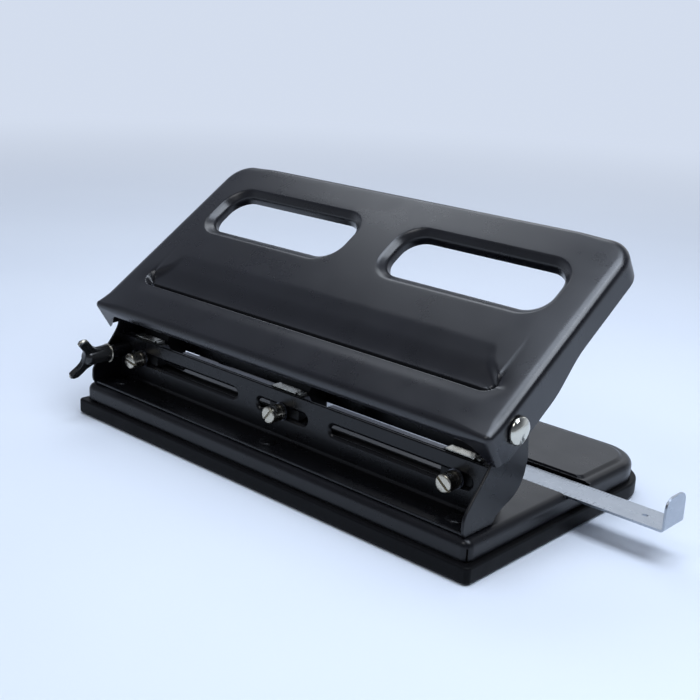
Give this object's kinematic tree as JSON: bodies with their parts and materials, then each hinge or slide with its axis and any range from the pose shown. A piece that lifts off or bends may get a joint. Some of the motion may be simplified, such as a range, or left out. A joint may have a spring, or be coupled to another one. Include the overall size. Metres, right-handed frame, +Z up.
{
  "type": "lever paper punch",
  "caption": "Adjustable lever paper punch: black pressed-steel handle with hand openings, slotted frame with sliding punch heads, sliding steel paper guide, wide base.",
  "frame": {"origin": "table level under the middle of the whole object's outline at rest", "axes": "+X along the length towards the paper guide's stop, +Y towards the lever's free end, +Z up"},
  "size_m": [0.3168, 0.1666, 0.1297],
  "materials": {
    "black_paint": "semi-gloss black stove enamel",
    "tray_plastic": "satin dark moulded plastic",
    "rubber": "soft black",
    "bright_steel": "bright zinc-plated",
    "nickel": "nickel plated",
    "tool_steel": "ground",
    "spring_steel": "drawn wire",
    "nylon": "natural nylon"
  },
  "bodies": {
    "base": {"base_tray": "tray_plastic", "base_shell": "black_paint", "foot_1": "rubber", "foot_2": "rubber", "foot_3": "rubber", "foot_4": "rubber", "punch_frame": "black_paint", "frame_rivet_1": "black_paint", "frame_rivet_2": "black_paint", "frame_rivet_3": "black_paint", "guide_rod_lower": "bright_steel", "guide_bar_upper": "bright_steel", "rear_cover": "black_paint", "hinge_pin_left": "nickel", "hinge_pin_right": "nickel", "hinge_washer_left": "nylon", "hinge_washer_right": "nylon", "guide_drag_spring": "spring_steel"},
    "lever": {"lever_handle": "black_paint", "press_rib": "tool_steel"},
    "guide": {"paper_guide": "bright_steel"},
    "door": {"chip_door": "tray_plastic"},
    "wing": {"wing_screw": "black_paint", "wing_sleeve": "black_paint"},
    "head_left": {"head_block_left": "nickel", "clamp_washer_left": "tool_steel", "return_spring_left": "spring_steel"},
    "pin_left": {"punch_pin_left": "tool_steel", "pin_collar_left": "tool_steel"},
    "screw_left": {"thumb_screw_left": "nickel"},
    "head_middle": {"head_block_middle": "nickel", "clamp_washer_middle": "tool_steel", "return_spring_middle": "spring_steel"},
    "pin_middle": {"punch_pin_middle": "tool_steel", "pin_collar_middle": "tool_steel"},
    "screw_middle": {"thumb_screw_middle": "nickel"},
    "head_right": {"head_block_right": "nickel", "clamp_washer_right": "tool_steel", "return_spring_right": "spring_steel"},
    "pin_right": {"punch_pin_right": "tool_steel", "pin_collar_right": "tool_steel"},
    "screw_right": {"thumb_screw_right": "nickel"}
  },
  "joints": [
    {"name": "lever_hinge", "type": "hinge", "parent": "base", "child": "lever", "pos_m": [-0.02193, -0.04222, 0.0617], "axis": [-1, 0, 0], "range_deg": [0, 33]},
    {"name": "guide_slide", "type": "slide", "parent": "base", "child": "guide", "axis": [1, 0, 0], "range_m": [-0.043, 0.055]},
    {"name": "door_hinge", "type": "hinge", "parent": "base", "child": "door", "pos_m": [-0.02193, 0.01178, 0.0009], "axis": [1, 0, 0], "range_deg": [0, 85]},
    {"name": "wing_turn", "type": "hinge", "parent": "base", "child": "wing", "pos_m": [-0.14333, -0.06173, 0.036], "axis": [0, -1, 0], "range_deg": [-180, 180]},
    {"name": "head_left_slide", "type": "slide", "parent": "base", "child": "head_left", "axis": [1, 0, 0], "range_m": [-0.005, 0.069]},
    {"name": "pin_left_stroke", "type": "slide", "parent": "head_left", "child": "pin_left", "axis": [0, 0, -1], "range_m": [0, 0.0068], "deforming": ["return_spring_left"]},
    {"name": "screw_left_turn", "type": "hinge", "parent": "head_left", "child": "screw_left", "pos_m": [-0.12993, -0.04913, 0.0335], "axis": [0, -1, 0], "range_deg": [-180, 180]},
    {"name": "head_middle_slide", "type": "slide", "parent": "base", "child": "head_middle", "axis": [1, 0, 0], "range_m": [-0.0125, 0.0125]},
    {"name": "pin_middle_stroke", "type": "slide", "parent": "head_middle", "child": "pin_middle", "axis": [0, 0, -1], "range_m": [0, 0.0068], "deforming": ["return_spring_middle"]},
    {"name": "screw_middle_turn", "type": "hinge", "parent": "head_middle", "child": "screw_middle", "pos_m": [-0.02193, -0.04913, 0.0335], "axis": [0, -1, 0], "range_deg": [-180, 180]},
    {"name": "head_right_slide", "type": "slide", "parent": "base", "child": "head_right", "axis": [1, 0, 0], "range_m": [-0.069, 0.005]},
    {"name": "pin_right_stroke", "type": "slide", "parent": "head_right", "child": "pin_right", "axis": [0, 0, -1], "range_m": [0, 0.0068], "deforming": ["return_spring_right"]},
    {"name": "screw_right_turn", "type": "hinge", "parent": "head_right", "child": "screw_right", "pos_m": [0.08607, -0.04913, 0.0335], "axis": [0, -1, 0], "range_deg": [-180, 180]}
  ],
  "couplings": [
    {"joint": "pin_left_stroke", "follows": "lever_hinge", "m_per_rad": 0.0118},
    {"joint": "pin_middle_stroke", "follows": "lever_hinge", "m_per_rad": 0.0118},
    {"joint": "pin_right_stroke", "follows": "lever_hinge", "m_per_rad": 0.0118}
  ]
}
